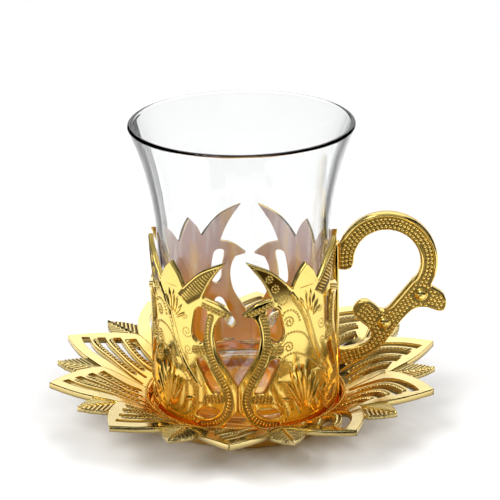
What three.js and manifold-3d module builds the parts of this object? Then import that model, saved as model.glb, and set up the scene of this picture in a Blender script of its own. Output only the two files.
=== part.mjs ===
// A glass for tea in a pierced metal holder with a scroll handle, on a petalled metal saucer.
// Millimetres, +Z up. The origin is the centre of the saucer's foot, and the handle points along +X.
import * as THREE from 'three';
import { mergeGeometries, mergeVertices } from 'three/addons/utils/BufferGeometryUtils.js';
import Module from 'manifold-3d';

const wasm = await Module();
wasm.setup();

// Driving dimensions
const GAP = 0.3; // air between pieces that rest against each other

const WELL_FLOOR = 2.6; // height of the saucer's flat middle
const WELL_RADIUS = 28.9;
const WELL_LIP = 6.0; // height where the dish leaves the well
const FOOT_RADIUS = 28.2;
const FOOT_TOP_RADIUS = 30.6;
const DISH_SLOPE = 0.53; // steep part of the dish
const RIM_SLOPE = 0.138; // flat part under the petals' tips
const BEND_START = 38; // the slope changes between these radii
const BEND_END = 48;
const SAUCER_WALL = 2.0;
const PETALS = 10;
const PETAL_RADIUS = 59.2;
const NOTCH_RADIUS = 43.4;
const PETAL_BULGE = 1.5; // how far a petal's side stands out from a straight line
const LEAF_RADIUS = 56.7;
const LEAF_DROP = 0.7; // the small leaves lie this much lower than the petals
const LEAF_WALL = 1.5;
const SLOTS = 4; // in each petal
const SLOT_START = 31.2; // radius where the slots begin
const SLOT_WIDTH = 2.4;
const SLOT_TAIL = 1.1; // width of a slot where it ends beside the well

const HOLDER_RADIUS = 27.8;
const HOLDER_WALL = 1.7;
const PATTERN_RADIUS = 28.2; // the flat pattern of the panels is drawn for this radius
const HOLDER_BASE = WELL_FLOOR + GAP;
const BASE_TOP = 6.4; // top of the holder's plain band, and of the ring inside it
const RING_THICKNESS = 1.2;
const BASE_HOLE = 17;
const PANELS = 4;
const BUD_HEIGHT = 54.7;
const HORN_HEIGHT = 57.0;
const POST_WIDTH = 5; // the upright that carries the handle
const POST_HEIGHT = 53.8;
const POST_PROUD = 0.15; // how far the post stands out from the wall, inside and outside

const HANDLE_THICKNESS = 3.2;
const HANDLE_START = HOLDER_RADIUS + POST_PROUD + GAP;
const RING = new THREE.Vector2(42.2, 48.6); // middle of the finger ring, as x and z
const RING_OUTER = 14.85;
const RING_INNER = 9.7;
const STUD_RADIUS = 1.7;
const STUD_HEIGHT = 0.9;
const STUDS = [new THREE.Vector2(52.3, 38.2), new THREE.Vector2(41.5, 29.2)];

const GLASS_HEIGHT = 83.7; // of the glass alone
const GLASS_RIM = 33;
const GLASS_WALL = 1.6;
const GLASS_BASE = 6.2; // thickness of its base
const ROUNDING = 0.6; // of its lip
const TURN_STEPS = 40; // facets round a turned piece
const TOLERANCE = 0.2; // how far a bent piece's facets may stray from the true surface

const point = (x, y) => new THREE.Vector2(x, y);
const radians = THREE.MathUtils.degToRad;
const AXIS = point(0, 0); // where the axis meets a flat outline

// Points of a smooth line through a few given ones.
const spline = (points, steps) => new THREE.SplineCurve(points).getPoints(steps);

// Points of a circle's arc from one angle to another, in degrees.
function arc(centre, radius, from, to, steps) {
  const points = [];
  for (let i = 0; i <= steps; i++) {
    const a = radians(from + ((to - from) * i) / steps);
    points.push(point(radius * Math.cos(a), radius * Math.sin(a)).add(centre));
  }
  return points;
}

// A run of points from pairs of numbers.
const run = (...pairs) => pairs.map(([x, y]) => point(x, y));

// The same points on the other side of the upright axis, in reverse order.
const mirrored = (points) => points.map((p) => point(-p.x, p.y)).reverse();

// Join runs of points into one outline, leaving out points that repeat the one before.
function outline(...runs) {
  const points = [];
  for (const p of runs.flat()) {
    if (!points.length || points[points.length - 1].distanceTo(p) > 0.01) points.push(p);
  }
  if (points[0].distanceTo(points[points.length - 1]) < 0.01) points.pop();
  return points;
}

function plainGeometry(geometry) {
  const plain = geometry.clone();
  plain.deleteAttribute('normal');
  plain.deleteAttribute('uv');
  return mergeVertices(plain, 1e-4);
}

// A flat plate of one outline with holes, its underside at z = 0.
function plate(points, holes, thickness) {
  const shape = new THREE.Shape(points);
  shape.holes = holes.map((hole) => new THREE.Path(hole));
  return plainGeometry(new THREE.ExtrudeGeometry(shape, { depth: thickness, bevelEnabled: false }));
}

// The triangles of a geometry, each as its three vertex numbers.
function facesOf(geometry) {
  const faces = [];
  for (let i = 0; i < geometry.index.count; i += 3) {
    faces.push([0, 1, 2].map((corner) => geometry.index.getX(i + corner)));
  }
  return faces;
}

// Bend a geometry by a function that gives each point's new place. Edges whose bent middle would lie
// further than the tolerance from a straight line between their bent ends are halved first.
function bent(geometry, place, tolerance) {
  const flat = [];
  const position = geometry.getAttribute('position');
  for (let i = 0; i < position.count; i++) flat.push(new THREE.Vector3().fromBufferAttribute(position, i));
  let faces = facesOf(geometry);
  const placed = (v) => new THREE.Vector3(...place(v.x, v.y, v.z));
  const between = (v, w) => v.clone().add(w).multiplyScalar(0.5);
  for (let again = true; again; ) {
    const middles = new Map();
    const middle = (a, b) => {
      const key = a < b ? `${a},${b}` : `${b},${a}`;
      if (!middles.has(key)) {
        const half = between(flat[a], flat[b]);
        const strays = placed(half).distanceTo(between(placed(flat[a]), placed(flat[b]))) > tolerance;
        middles.set(key, strays ? flat.push(half) - 1 : -1);
      }
      return middles.get(key);
    };
    const count = flat.length;
    faces = faces.flatMap(([a, b, c]) => splitFace(a, b, c, middle, flat));
    again = flat.length > count;
  }
  const positions = flat.flatMap((v) => placed(v).toArray());
  const shape = new THREE.BufferGeometry();
  shape.setAttribute('position', new THREE.Float32BufferAttribute(positions, 3));
  shape.setIndex(faces.flat());
  return shape;
}

// The one to four triangles that a triangle becomes when some of its edges have a middle point.
function splitFace(a, b, c, middle, vertices) {
  const ab = middle(a, b);
  const bc = middle(b, c);
  const ca = middle(c, a);
  const cut = [ab, bc, ca].filter((m) => m >= 0).length;
  if (cut === 0) return [[a, b, c]];
  if (cut === 3) return [[a, ab, ca], [ab, b, bc], [ca, bc, c], [ab, bc, ca]];
  if (cut === 1) {
    if (ab >= 0) return [[a, ab, c], [ab, b, c]];
    if (bc >= 0) return [[a, b, bc], [a, bc, c]];
    return [[a, b, ca], [ca, b, c]];
  }
  // Two edges are cut: turn the triangle until the whole edge is its last one, from c to a.
  if (ca >= 0) return ab >= 0 ? splitFace(c, a, b, middle, vertices) : splitFace(b, c, a, middle, vertices);
  const shorter = vertices[a].distanceTo(vertices[bc]) < vertices[c].distanceTo(vertices[ab]);
  return shorter ? [[ab, b, bc], [a, ab, bc], [a, bc, c]] : [[ab, b, bc], [a, ab, c], [ab, bc, c]];
}

function solid(geometry) {
  const plain = plainGeometry(geometry);
  return new wasm.Manifold(new wasm.Mesh({
    numProp: 3,
    vertProperties: Float32Array.from(plain.getAttribute('position').array),
    triVerts: Uint32Array.from(plain.index.array),
  }));
}

function geometryOf(manifold) {
  const { vertProperties, triVerts } = manifold.getMesh();
  const geometry = new THREE.BufferGeometry();
  geometry.setAttribute('position', new THREE.Float32BufferAttribute(vertProperties, 3));
  geometry.setIndex(Array.from(triVerts));
  geometry.computeVertexNormals();
  return geometry;
}

const joined = (solids) => solids.reduce((sum, next) => sum.add(next));

// A turned solid from its half section, listed from the axis at the bottom round to the axis at the top.
function turned(section) {
  return new THREE.LatheGeometry(section, TURN_STEPS).rotateX(Math.PI / 2);
}

// Saucer

// Height of the dish's upper face at a distance from the axis: a steep cone, a soft bend, a flatter cone.
function dishHeight(radius) {
  const t = THREE.MathUtils.clamp((radius - BEND_START) / (BEND_END - BEND_START), 0, 1);
  const bendLength = BEND_END - BEND_START;
  const bendRise = bendLength * (DISH_SLOPE * t + (RIM_SLOPE - DISH_SLOPE) * (t ** 3 - t ** 4 / 2));
  const cone = DISH_SLOPE * (Math.min(radius, BEND_START) - WELL_RADIUS);
  return WELL_LIP + cone + bendRise + RIM_SLOPE * Math.max(radius - BEND_END, 0);
}

const onDish = (wall, drop) => (x, y, z) => [x, y, dishHeight(Math.hypot(x, y)) - drop - wall + z];

const turnedBy = (points, degrees) =>
  points.map((p) => p.clone().rotateAround(AXIS, radians(degrees)));

// One side of a petal, from its notch to its tip: a straight line with a sine-shaped bulge.
function petalSide(steps) {
  const notch = point(NOTCH_RADIUS, 0).rotateAround(AXIS, -Math.PI / PETALS);
  const tip = point(PETAL_RADIUS, 0);
  const across = tip.clone().sub(notch).normalize();
  const points = [];
  for (let i = 0; i <= steps; i++) {
    const t = i / steps;
    const bulge = PETAL_BULGE * Math.sin(Math.PI * t);
    points.push(notch.clone().lerp(tip, t).add(point(across.y * bulge, -across.x * bulge)));
  }
  return points;
}

// A slot is a curved band that starts beside the well, widens outwards and ends near one side of the
// petal. Each further slot lies nearer to that side and is shorter. The petal points along +X here.
function slotHole(index, steps = 3) {
  const start = point(SLOT_START, 0).rotateAround(AXIS, radians(16 - 9 * index));
  const middle = point(47.2 - 3.9 * index, 8.7 - 4.3 * index);
  const end = point(54.0 - 4.1 * index, -2.0 - 2.6 * index);
  const line = new THREE.QuadraticBezierCurve(start, middle, end);
  const left = [];
  const right = [];
  for (let i = 0; i <= steps; i++) {
    const t = i / steps;
    const half = (SLOT_TAIL + (SLOT_WIDTH - SLOT_TAIL) * Math.min(2 * t, 1)) / 2;
    const side = line.getTangent(t).rotateAround(AXIS, Math.PI / 2).multiplyScalar(half);
    left.push(line.getPoint(t).add(side));
    right.push(line.getPoint(t).sub(side));
  }
  return [...left, ...right.reverse()];
}

function petalRing() {
  const side = petalSide(4);
  const petal = [...side, ...side.map((p) => point(p.x, -p.y)).reverse()];
  const points = [];
  const holes = [arc(AXIS, WELL_RADIUS, 360, 0, TURN_STEPS)];
  for (let i = 0; i < PETALS; i++) {
    const angle = -90 + (360 / PETALS) * i;
    points.push(...turnedBy(petal, angle));
    for (let s = 0; s < SLOTS; s++) holes.push(turnedBy(slotHole(s), angle));
  }
  return plate(outline(points), holes.map((hole) => outline(hole)), SAUCER_WALL);
}

// A small pointed leaf that shows in the notch between two petals.
function leafPlate(index) {
  const side = run([40, -3.5], [46, -5.6], [50.5, -4.9], [54.2, -2.6], [LEAF_RADIUS, 0]);
  const leaf = [...side, ...side.map((p) => point(p.x, -p.y)).reverse()];
  return plate(outline(turnedBy(leaf, -90 + (360 / PETALS) * (index + 0.5))), [], LEAF_WALL);
}

// The well with its lip and the flat foot.
function saucerMiddle() {
  const lipRadius = WELL_RADIUS + 0.2;
  return turned(run(
    [0, 0],
    [FOOT_RADIUS, 0],
    [FOOT_TOP_RADIUS, dishHeight(FOOT_TOP_RADIUS) - SAUCER_WALL / 2],
    [lipRadius, dishHeight(WELL_RADIUS) - SAUCER_WALL / 4],
    [WELL_RADIUS, WELL_FLOOR],
    [0, WELL_FLOOR],
  ));
}

function saucerGeometry() {
  const pieces = [solid(saucerMiddle()), solid(bent(petalRing(), onDish(SAUCER_WALL, 0), TOLERANCE))];
  for (let i = 0; i < PETALS; i++) {
    pieces.push(solid(bent(leafPlate(i), onDish(LEAF_WALL, LEAF_DROP), TOLERANCE)));
  }
  return geometryOf(joined(pieces));
}

// Holder

const HALF_PITCH = (Math.PI * PATTERN_RADIUS) / PANELS;

// Right half of a tulip panel, from the base up to the bud's tip. Across is measured round the holder.
function tulipHalf() {
  const foot = run([HALF_PITCH, HOLDER_BASE], [HALF_PITCH, BASE_TOP]);
  const leg = spline(run([17.8, BASE_TOP], [19.6, 8.8], [HALF_PITCH, 11.6]), 3);
  const stem = spline(
    run([HALF_PITCH, 19.2], [19.3, 23.9], [16.5, 28.6], [15.3, 33.5], [15.7, 37.3], [17.1, 40.1]), 9,
  );
  const hook = point(20.6, 41.0);
  const hookTop = spline(run([20.6, 41.4], [16.6, 44.3], [11.9, 45.8]), 4);
  const hornUnder = spline(run([11.9, 45.8], [14.8, 51.4], [19.2, HORN_HEIGHT]), 4);
  const hornTop = spline(run([19.2, HORN_HEIGHT], [11.5, 53.7], [5.1, 48.0]), 5);
  const bud = spline(run([5.1, 48.0], [3.0, 51.6], [0, BUD_HEIGHT]), 3);
  return [...foot, ...leg, ...stem, hook, ...hookTop, ...hornUnder, ...hornTop, ...bud];
}

// The three windows in the right half of a panel: upper, slanting and the lens at the bottom.
function tulipWindows() {
  const upper = run([9.9, 42.5], [13.2, 42.2], [12.4, 37], [11.9, 33], [10.4, 31.7], [8.2, 33.5], [8.5, 38]);
  const slanting = run([9.5, 26.3], [12.1, 26.7], [14.9, 21.5], [17.1, 17.2], [14.5, 16.8], [11.8, 21.5]);
  const lens = run([9.0, 9.3], [11.2, 8.5], [14.0, 9.0], [16.6, 11.2], [14.6, 12.1], [11.4, 11.6]);
  return [upper, slanting, lens];
}

// One panel before it is rolled up, with the faces left out where it runs on into its neighbours.
function flatPanel() {
  const half = tulipHalf();
  const windows = tulipWindows();
  const panel = plate(outline(half, mirrored(half)), [...windows, ...windows.map(mirrored)], HOLDER_WALL);
  const corners = panel.getAttribute('position');
  const isOn = (side) => (corner) => Math.abs(corners.getX(corner) - side) < 1e-3;
  const isKept = (face) => !face.every(isOn(HALF_PITCH)) && !face.every(isOn(-HALF_PITCH));
  panel.setIndex(facesOf(panel).filter(isKept).flat());
  return panel;
}

// Roll a flat piece round the holder's axis: across becomes an angle, the thickness runs outwards.
const rolled = (inner) => (u, v, w) => {
  const a = u / PATTERN_RADIUS;
  return [(inner + w) * Math.cos(a), (inner + w) * Math.sin(a), v];
};

// The ring inside the holder's foot, which carries the glass.
function innerRing() {
  const outer = HOLDER_RADIUS - HOLDER_WALL / 2;
  const top = BASE_TOP - 0.1; // just under the edge of the band
  const bottom = top - RING_THICKNESS;
  const corners = run([BASE_HOLE, bottom], [outer, bottom], [outer, top], [BASE_HOLE, top]);
  return turned([...corners, corners[0]]);
}

function holderGeometry() {
  const inner = HOLDER_RADIUS - HOLDER_WALL;
  const panel = bent(flatPanel(), rolled(inner), TOLERANCE);
  const panels = [];
  for (let i = 0; i < PANELS; i++) panels.push(panel.clone().rotateZ((Math.PI * (2 * i + 1)) / PANELS));
  const side = POST_WIDTH / 2;
  const corners = run([-side, HOLDER_BASE], [side, HOLDER_BASE], [side, POST_HEIGHT], [-side, POST_HEIGHT]);
  const post = plate(corners, [], HOLDER_WALL + 2 * POST_PROUD);
  return geometryOf(joined([
    solid(mergeGeometries(panels)),
    solid(innerRing()),
    solid(bent(post, rolled(inner - POST_PROUD), TOLERANCE)),
  ]));
}

// Handle

// The side view of the scroll handle, as x and z, clockwise from its upper root.
function handleOutline() {
  const upperRoot = run([HANDLE_START, 45.8], [HANDLE_START, 53.6]);
  const ringOuter = arc(RING, RING_OUTER, 152, -28, 16);
  const spur = spline(
    run(
      [55.4, 40.6], [58.4, 38.6], [59.7, 36.2], [59.2, 33.7], [57.4, 33.2], [53.6, 34.3], [50.2, 33.6],
      [46.8, 30.2], [43.3, 25.1], [40.3, 21.2], [34.4, 17.3],
    ),
    22,
  );
  const lowerRoot = run([HANDLE_START, 15.5], [HANDLE_START, 20.7]);
  const curl = spline(
    run(
      [30, 20.5], [35, 22.0], [37.6, 24.6], [37.2, 27.0], [33.6, 30.2], [32.2, 32.9], [33.4, 35.2],
      [35.9, 36.0], [38.2, 34.8], [40.4, 33.1], [42.4, 33.8], [45.2, 37.2], [49.4, 42.6],
    ),
    26,
  );
  const ringInner = arc(RING, RING_INNER, -32, 172, 14);
  const rootTip = spline(run([32.5, 48.6], [31.9, 46.5], [30.2, 45.7]), 3);
  return outline(upperRoot, ringOuter, spur, lowerRoot, curl, ringInner, rootTip).reverse();
}

// A low round stud that stands out from the handle's face.
function stud(centre, side) {
  const profile = run([0, -0.5], [STUD_RADIUS, -0.5], [STUD_RADIUS, 0.2], [1.2, 0.65], [0, STUD_HEIGHT]);
  const geometry = new THREE.LatheGeometry(profile, 12);
  if (side < 0) geometry.rotateX(Math.PI);
  return geometry.translate(centre.x, (side * HANDLE_THICKNESS) / 2, centre.y);
}

function handleGeometry() {
  const body = plate(handleOutline(), [], HANDLE_THICKNESS).rotateX(Math.PI / 2);
  const pieces = [solid(body.translate(0, HANDLE_THICKNESS / 2, 0))];
  for (const centre of STUDS) pieces.push(solid(stud(centre, 1)), solid(stud(centre, -1)));
  return geometryOf(joined(pieces));
}

// Glass

// The outer wall is nearly straight inside the holder and flares above it. Heights are above its foot.
function glassGeometry() {
  const mouth = GLASS_HEIGHT - ROUNDING;
  const lower = run([24.6, 3.5], [24.9, 15.3], [25.3, 35.3], [25.5, 51.3]);
  const flare = run([26.5, 60.3], [28.1, 68.3], [30.2, 75.8], [GLASS_RIM, mouth]);
  const outside = spline([...lower, ...flare], 10);
  const inside = outside.slice(2).map((p) => point(p.x - GLASS_WALL, p.y)).reverse();
  const underside = run([0, 0.8], [16, 0.5], [18, 0], [22, 0], [24, 1.2]);
  const lip = point(GLASS_RIM - GLASS_WALL / 2, GLASS_HEIGHT);
  const floor = run([22.2, GLASS_BASE + 1.8], [20, GLASS_BASE + 0.4], [0, GLASS_BASE]);
  return turned([...underside, ...outside, lip, ...inside, ...floor]);
}

// Assembly: the holder stands in the saucer's well, and the glass stands on the holder's ring.

function named(name, geometry, color, roughness, metalness) {
  const mesh = new THREE.Mesh(geometry, new THREE.MeshStandardMaterial({ color, roughness, metalness }));
  mesh.name = name;
  return mesh;
}

const GOLD = 0xdcb64a;
const CLEAR = 0xf2f6f6;

const held = new THREE.Group();
held.add(named('holder', holderGeometry(), GOLD, 0.2, 1));
held.add(named('handle', handleGeometry(), GOLD, 0.25, 1));
const glass = named('glass', glassGeometry(), CLEAR, 0.05, 0);
glass.position.z = BASE_TOP + GAP;
held.add(glass);

const teaSet = new THREE.Group();
teaSet.add(named('saucer', saucerGeometry(), GOLD, 0.2, 1));
teaSet.add(held);

export default teaSet;
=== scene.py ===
import math

import bpy
import numpy as np
from bpy.props import FloatProperty, PointerProperty, StringProperty
from mathutils import Matrix, Vector
from mathutils.geometry import delaunay_2d_cdt


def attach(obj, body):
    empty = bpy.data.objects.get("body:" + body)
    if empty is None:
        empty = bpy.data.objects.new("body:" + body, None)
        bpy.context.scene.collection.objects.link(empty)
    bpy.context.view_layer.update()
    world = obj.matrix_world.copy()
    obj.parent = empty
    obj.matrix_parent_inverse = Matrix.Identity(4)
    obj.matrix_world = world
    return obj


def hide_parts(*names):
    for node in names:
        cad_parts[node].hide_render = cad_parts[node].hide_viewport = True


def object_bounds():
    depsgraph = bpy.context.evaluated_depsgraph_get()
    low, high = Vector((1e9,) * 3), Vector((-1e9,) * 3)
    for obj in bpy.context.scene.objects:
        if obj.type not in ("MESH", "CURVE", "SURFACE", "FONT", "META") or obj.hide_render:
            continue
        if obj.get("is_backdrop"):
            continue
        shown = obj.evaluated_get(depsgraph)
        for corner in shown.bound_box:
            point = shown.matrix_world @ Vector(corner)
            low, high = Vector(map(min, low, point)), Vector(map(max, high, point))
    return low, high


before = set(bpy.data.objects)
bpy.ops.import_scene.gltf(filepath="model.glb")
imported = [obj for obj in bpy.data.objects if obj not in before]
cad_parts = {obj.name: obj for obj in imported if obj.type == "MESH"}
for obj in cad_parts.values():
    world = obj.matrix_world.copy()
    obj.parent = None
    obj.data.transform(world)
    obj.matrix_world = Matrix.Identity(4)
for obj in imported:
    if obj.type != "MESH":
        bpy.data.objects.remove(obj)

bl_info = {
    "name": "Tea Glass in a Gilt Holder",
    "version": (1, 0, 0),
    "blender": (4, 5, 0),
    "location": "3D View > Sidebar > Tea Glass",
    "description": "Dresses a tea glass, its pierced holder and its petalled saucer",
    "category": "Add Mesh",
}

CAD_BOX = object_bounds()
BODY = "root"
MM = 0.001  # the shapes below are worked out in millimetres

# Sizes in millimetres, and counts. A form that the solids have too has the same sizes there
GAP = 0.3
WELL_FLOOR = 2.6
WELL_RADIUS = 28.9
WELL_LIP = 6.0
FOOT_RADIUS = 28.2
FOOT_TOP_RADIUS = 30.6
DISH_SLOPE = 0.53
RIM_SLOPE = 0.138
BEND_START = 38.0
BEND_END = 48.0
SAUCER_WALL = 2.0
PETALS = 10
PETAL_RADIUS = 59.2
NOTCH_RADIUS = 43.4
PETAL_BULGE = 1.5
LEAF_RADIUS = 56.7
LEAF_DROP = 0.7
LEAF_WALL = 1.5
SLOTS = 4
SLOT_START = 31.2
SLOT_WIDTH = 2.4
SLOT_TAIL = 1.1
ROPE_SHARE = 0.58
WELL_BEADS_RADIUS = 29.9
HOLDER_RADIUS = 27.8
HOLDER_WALL = 1.7
PATTERN_RADIUS = 28.2
HOLDER_BASE = WELL_FLOOR + GAP
BASE_TOP = 6.4
RING_THICKNESS = 1.2
BASE_HOLE = 17.0
PANELS = 4
BUD_HEIGHT = 54.7
HORN_HEIGHT = 57.0
POST_WIDTH = 5.0
POST_HEIGHT = 53.8
HALF_PITCH = math.pi * PATTERN_RADIUS / PANELS
SEAM = 0.02
HORN_RIBS = 18
BEAD_MARGIN = 0.42
HANDLE_THICKNESS = 3.2
HANDLE_START = 28.16
RING = (42.2, 48.6)
RING_OUTER = 14.85
RING_INNER = 9.7
STUDS = ((52.3, 38.2), (41.5, 29.2))
STUD_RADIUS = 2.0
STUD_TOP_RADIUS = 1.7
STUD_CLEARANCE = 2.45
GLASS_FOOT = BASE_TOP + GAP
GLASS_HEIGHT = 83.7
GLASS_RIM = 33.0
GLASS_WALL = 1.6
GLASS_BASE = 6.2
TURNED_SIDES = {"glass": 160, "well": 120, "ring": 96}

# Photograph's viewpoint, in metres, degrees and millimetres of focal length
VIEW_AIM = (0.00195, 0.00015, 0.05101)
VIEW_AZIMUTH = 4.40
VIEW_ELEVATION = 20.11
VIEW_ROLL = -0.815
VIEW_DISTANCE = 0.6713
VIEW_LENS = 164.4

# Sizes of the finishes' patterns in millimetres
HAZE_SIZE = 6.25
WAVE_SIZE = 2.38
GRAIN_SIZE = 1.11
# The glints' sizes are those of painted highlights on the casting's back
GLINT_WIDTH = 6.67
GLINT_LENGTH = 33.3


# Lines and outlines

def run(*pairs):
    """An array of points from pairs of numbers."""
    return np.array(pairs, float)


def spline(knots, steps):
    """A smooth line through its knots: between two knots it is the cubic whose slopes there are half the
    distance between the neighbouring knots."""
    knots = np.asarray(knots, float)
    last = len(knots) - 1
    t = np.linspace(0, last, steps + 1)
    i = np.minimum(t.astype(int), last - 1)
    f = (t - i)[:, None]
    before, start, end, after = (knots[np.clip(i + k, 0, last)] for k in (-1, 0, 1, 2))
    m, n = (end - before) / 2, (after - start) / 2
    return (2 * start - 2 * end + m + n) * f**3 + (-3 * start + 3 * end - 2 * m - n) * f**2 + m * f + start


def arc(centre, radius, start, end, steps):
    """Points of a circle's arc between two angles in degrees."""
    a = np.radians(np.linspace(start, end, steps + 1))
    return np.stack([centre[0] + radius * np.cos(a), centre[1] + radius * np.sin(a)], 1)


def turned(points, degrees):
    """The points turned about the origin."""
    c, s = math.cos(math.radians(degrees)), math.sin(math.radians(degrees))
    return np.asarray(points, float) @ np.array([[c, s], [-s, c]])


def mirrored(points):
    """The same points on the other side of the upright axis, in reverse order."""
    return (points * [-1, 1])[::-1]


def closed_loop(*runs):
    """Runs of points joined into one outline, without points that repeat the one before."""
    points = np.concatenate(runs)
    step = np.linalg.norm(points - np.roll(points, 1, axis=0), axis=1)
    return points[step > 0.01]


def counter_clockwise(loop):
    """The outline in the order that keeps its area on the left."""
    x, y = loop.T
    area = (x * np.roll(y, -1) - y * np.roll(x, -1)).sum()
    return loop if area > 0 else loop[::-1]


def lengths(line):
    """Distance along a line from its start to each of its points."""
    return np.concatenate([[0], np.cumsum(np.linalg.norm(np.diff(line, axis=0), axis=1))])


def points_at(places, reached, line):
    """The line's points at some places, where its own points are reached at others."""
    return np.stack([np.interp(places, reached, line[:, k]) for k in (0, 1)], 1)


def even(line, pitch):
    """Points along a line at an even pitch, with the line's direction there as an angle."""
    reached = lengths(line)
    parts = max(int(round(reached[-1] / pitch)), 1)
    points = points_at(np.linspace(0, reached[-1], parts + 1), reached, line)
    slope = np.gradient(points, axis=0)
    return points, np.arctan2(slope[:, 1], slope[:, 0])


def finely(loop, spacing):
    """The closed outline with points added so that no side is longer than the spacing."""
    ahead = np.roll(loop, -1, axis=0)
    parts = np.maximum(np.ceil(np.linalg.norm(ahead - loop, axis=1) / spacing), 1).astype(int)
    side = np.repeat(np.arange(len(loop)), parts)
    step = np.arange(parts.sum()) - np.repeat(np.cumsum(parts) - parts, parts)
    f = (step / parts[side])[:, None]
    return loop[side] * (1 - f) + ahead[side] * f


def offset(line, distance):
    """The line moved sideways to its left by a distance."""
    slope = np.gradient(line, axis=0)
    slope /= np.linalg.norm(slope, axis=1)[:, None]
    return line + distance * np.stack([-slope[:, 1], slope[:, 0]], 1)


def nearest(points, starts, ends):
    """For each point, its distance to the nearest of some straight stretches, the share of the whole row
    of stretches that comes before the nearest place, and +1 or -1 for the left or right side of it."""
    along = ends - starts
    length = np.maximum((along**2).sum(1), 1e-12)
    found = []
    for part in np.array_split(points, len(points) // 4000 + 1):
        reach = part[:, None] - starts
        f = np.clip((reach * along).sum(2) / length, 0, 1)
        off = reach - f[..., None] * along
        gap = np.hypot(off[..., 0], off[..., 1])
        k = gap.argmin(1)
        row = np.arange(len(part))
        cross = along[k, 0] * reach[row, k, 1] - along[k, 1] * reach[row, k, 0]
        found.append(np.stack([gap[row, k], (k + f[row, k]) / len(starts), np.sign(cross)]))
    return np.concatenate(found, axis=1)


def near_line(points, line):
    """Distance, share and side of each point beside one open line."""
    return nearest(points, line[:-1], line[1:])


def on_line(points, line, low, high):
    """1 within the low distance of a line, 0 beyond the high one, and a smooth cubic between them."""
    return 1 - smooth_step(near_line(points, line)[0], low, high)


def inside(points, starts, ends):
    """Whether a level ray from each point crosses the closed outlines an odd number of times."""
    result = []
    (x1, y1), (x2, y2) = starts.T, ends.T
    rise = np.where(y2 == y1, 1e-12, y2 - y1)
    for part in np.array_split(points, len(points) // 4000 + 1):
        x, y = part[:, :1], part[:, 1:]
        crosses = ((y1 > y) != (y2 > y)) & (x < (x2 - x1) * (y - y1) / rise + x1)
        result.append(crosses.sum(1) % 2 == 1)
    return np.concatenate(result)


def smooth_step(value, low, high):
    """0 below the low value, 1 above the high one, and a smooth cubic between them."""
    t = np.clip((value - low) / (high - low), 0, 1)
    return t * t * (3 - 2 * t)


def ridge(distance, width):
    """A bell-shaped bump of height 1 across a line."""
    return np.exp(-((distance / width) ** 2))


# Sheets and ornaments

class Region:
    """A flat region with holes, filled with triangles: its edges are followed closely by two rows of
    points, and the rest is an even grid of equal-sided triangles."""

    ROWS = (0.1, 0.27)

    def __init__(self, outline, holes, spacing):
        loops = [finely(counter_clockwise(outline), spacing * 1.3)]
        loops += [finely(counter_clockwise(hole)[::-1], spacing * 1.3) for hole in holes]
        self.starts = np.concatenate(loops)
        self.ends = np.concatenate([np.roll(loop, -1, axis=0) for loop in loops])
        rows = []
        for loop in loops:
            slope = np.roll(loop, -1, axis=0) - np.roll(loop, 1, axis=0)
            left = np.stack([-slope[:, 1], slope[:, 0]], 1) / np.linalg.norm(slope, axis=1)[:, None]
            rows += [(loop + row * left, 0.93 * row) for row in self.ROWS]
        low, high = self.starts.min(0), self.starts.max(0)
        x, y = np.meshgrid(
            np.arange(low[0], high[0], spacing), np.arange(low[1], high[1], spacing * math.sqrt(0.75)))
        x[1::2] += spacing / 2
        rows.append((np.stack([x.ravel(), y.ravel()], 1), self.ROWS[-1] + 0.5 * spacing))
        kept = [p[inside(p, self.starts, self.ends) & (self.gap(p) > least)] for p, least in rows]
        points = np.concatenate([self.starts] + kept)
        first = np.arange(len(self.starts))
        second = np.concatenate([
            np.roll(np.arange(len(loop)), -1) + shift
            for loop, shift in zip(loops, np.cumsum([0] + [len(loop) for loop in loops]))])
        filled = delaunay_2d_cdt(points, np.stack([first, second], 1).tolist(), [], 0, 1e-6)
        self.points = np.array([tuple(p) for p in filled[0]])
        faces = np.array(filled[2])
        self.faces = faces[inside(self.points[faces].mean(1), self.starts, self.ends)]
        self.depth = self.gap(self.points)

    def gap(self, points):
        """Distance from each point to the region's nearest edge."""
        return nearest(points, self.starts, self.ends)[0]


def rounded_off(depth, radius):
    """How far a quarter-round edge lies below the flat face at a distance in from the edge."""
    return radius - np.sqrt(np.maximum(radius**2 - np.maximum(radius - depth, 0) ** 2, 0))


def bent(mesh_data, place):
    """A flat mesh bent by a place function, which gives x, y and z from across, along and up."""
    vertices, faces, dullness_and_shade = mesh_data
    return place(*vertices.T), faces, dullness_and_shade


def sheet(region, thickness, top, edge=0.3, bottom=None, dull_and_shade=None, under=0.0):
    """A closed flat plate over a region. Its upper face stands at the thickness plus the top function, its
    lower face at zero less the bottom function, and both edges are rounded. The function of dullness and
    painted shade says how rough the casting is and how much painted shade darkens its colour, from 0 to 1: on
    both faces where there is a bottom function, and otherwise on the upper face alone, with the under value
    below."""
    u, v = region.points.T
    count = len(u)
    upper = thickness + top(region.points) - rounded_off(region.depth, edge)
    lower = rounded_off(region.depth, edge * 0.7) - (bottom(region.points) if bottom else 0)
    vertices = np.column_stack([np.tile(u, 2), np.tile(v, 2), np.concatenate([upper, lower + 0 * u])])
    a, b, c = region.faces.T
    sides = np.concatenate([np.stack(pair, 1) for pair in ((a, b), (b, c), (c, a))])
    keys = sides[:, 0] * count + sides[:, 1]
    outer = sides[~np.isin(keys, sides[:, 1] * count + sides[:, 0])]
    p, q = outer.T
    walls = np.concatenate([np.stack([q, p, p + count], 1), np.stack([q, p + count, q + count], 1)])
    dullness_and_shade = np.stack([np.zeros(count), np.full(count, under)])
    if dull_and_shade:
        dullness_and_shade[:2 if bottom else 1] = dull_and_shade(region.points)
    return vertices, np.concatenate([region.faces, region.faces[:, ::-1] + count, walls]), dullness_and_shade.ravel()


def around(section, sides):
    """The points of a section, each taken round the axis in a circle."""
    a = np.arange(sides) * 2 * math.pi / sides
    x, y = section[:, :1] * np.cos(a), section[:, :1] * np.sin(a)
    return np.stack([x, y, np.broadcast_to(section[:, 1:], x.shape)], 2).reshape(-1, 3)


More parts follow.
